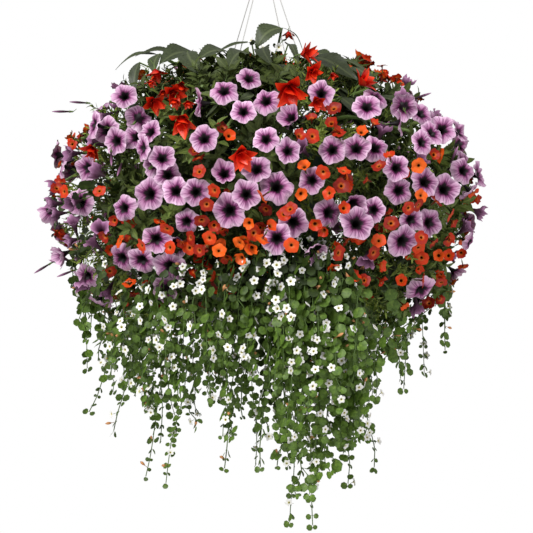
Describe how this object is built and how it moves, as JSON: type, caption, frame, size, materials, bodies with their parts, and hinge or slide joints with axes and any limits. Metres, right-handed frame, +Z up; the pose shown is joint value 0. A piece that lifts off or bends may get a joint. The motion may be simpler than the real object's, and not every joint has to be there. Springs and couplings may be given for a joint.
{
  "type": "petunia hanging basket",
  "caption": "Round hanging pot on a wire hanger, overflowing in a ball of lilac petunias and orange million bells, with a red begonia on top and long white bacopa trails.",
  "frame": {"origin": "the seat of the hook: the highest point inside its bend, which rests on what holds the basket up", "axes": "+Z up along the basket's own axis, -Y towards the front that the plants show best, +X to the right seen from the front"},
  "size_m": [0.8586, 0.8188, 1.1602],
  "materials": {
    "galvanised_wire": "satin",
    "dark_green_plastic": "satin",
    "potting_mix": "matte",
    "green_stem": "matte",
    "lilac_petal": "matte",
    "orange_petal": "matte",
    "red_petal": "matte",
    "dark_leaf": "satin",
    "trail_leaf": "matte"
  },
  "bodies": {
    "root": {"hook": "galvanised_wire", "strand_back_left": "galvanised_wire", "strand_front_left": "galvanised_wire", "strand_back_right": "galvanised_wire", "strand_front_right": "galvanised_wire", "pot": "dark_green_plastic", "potting_mix": "potting_mix", "petunia_front_stems": "green_stem", "petunia_front_canopy": "lilac_petal", "petunia_right_stems": "green_stem", "petunia_right_canopy": "lilac_petal", "petunia_back_stems": "green_stem", "petunia_back_canopy": "lilac_petal", "million_bells_front_stems": "green_stem", "million_bells_front_canopy": "orange_petal", "million_bells_back_stems": "green_stem", "million_bells_back_canopy": "orange_petal", "million_bells_left_stems": "green_stem", "million_bells_left_canopy": "orange_petal", "begonia_stems": "green_stem", "begonia_leaf_top": "dark_leaf", "begonia_leaf_left": "dark_leaf", "begonia_leaf_far_left": "dark_leaf", "begonia_leaf_right": "dark_leaf", "begonia_leaf_far_right": "dark_leaf", "begonia_leaf_back": "dark_leaf", "begonia_flower_front": "red_petal", "begonia_flower_left": "red_petal", "begonia_flower_back": "red_petal", "bacopa_trail_01": "trail_leaf", "bacopa_trail_02": "trail_leaf", "bacopa_trail_03": "trail_leaf", "bacopa_trail_04": "trail_leaf", "bacopa_trail_05": "trail_leaf", "bacopa_trail_06": "trail_leaf", "bacopa_trail_07": "trail_leaf", "bacopa_trail_08": "trail_leaf", "bacopa_trail_09": "trail_leaf", "bacopa_trail_10": "trail_leaf", "bacopa_trail_11": "trail_leaf", "bacopa_trail_12": "trail_leaf", "bacopa_trail_13": "trail_leaf", "bacopa_trail_14": "trail_leaf"}
  },
  "joints": []
}
